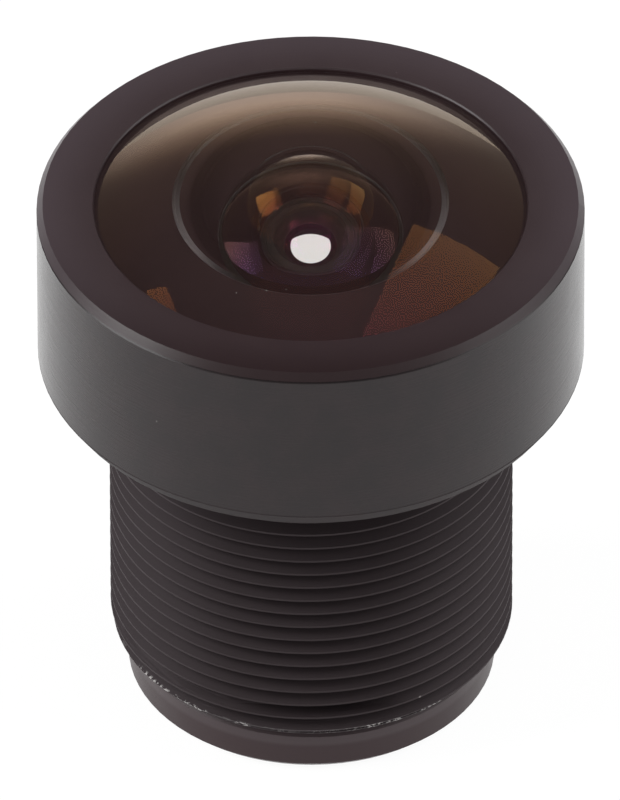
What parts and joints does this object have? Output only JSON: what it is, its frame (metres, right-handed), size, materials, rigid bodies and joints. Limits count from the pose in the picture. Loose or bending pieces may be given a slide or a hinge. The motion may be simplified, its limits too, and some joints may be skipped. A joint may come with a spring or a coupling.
{
  "type": "fixed-focus board camera lens",
  "caption": "Fixed-focus wide-angle board camera lens: domed front glass in a round head, fine-threaded focusing stem and plain rear pilot.",
  "frame": {"origin": "centre of the rear face of the barrel, on the optical axis", "axes": "+Z along the optical axis, out of the front glass; X and Y across the barrel, with -Y towards the viewer of the picture"},
  "size_m": [0.0162, 0.0162, 0.019],
  "materials": {
    "black_anodised": "black anodised, satin, fine turned lines, silver at worn thread edges",
    "black_anodised_ring": "black anodised, satin, fine turned lines",
    "black_anodised_inner": "black anodised, matt",
    "coated_glass": "polished, anti-reflection coated",
    "filter_glass": "polished, infra-red cut coating",
    "seal_rubber": "black, satin",
    "black_film": "black polyester film, matt",
    "clear_adhesive": "cured clear adhesive, glossy",
    "black_adhesive": "cured black adhesive, glossy"
  },
  "bodies": {
    "root": {"lens_barrel": "black_anodised", "front_retaining_ring": "black_anodised_ring", "front_lens": "coated_glass", "front_o_ring": "seal_rubber", "inner_retaining_ring": "black_anodised_inner", "second_lens": "coated_glass", "front_light_shield": "black_film", "middle_spacer": "black_anodised_inner", "third_lens": "coated_glass", "stop_spacer": "black_anodised_inner", "aperture_stop": "black_film", "crown_element": "coated_glass", "flint_element": "coated_glass", "rear_light_shield": "black_film", "rear_spacer": "black_anodised_inner", "rear_lens": "coated_glass", "rear_retaining_ring": "black_anodised_inner", "ir_cut_filter": "filter_glass", "filter_adhesive": "clear_adhesive", "ring_lock_adhesive": "black_adhesive"}
  },
  "joints": []
}
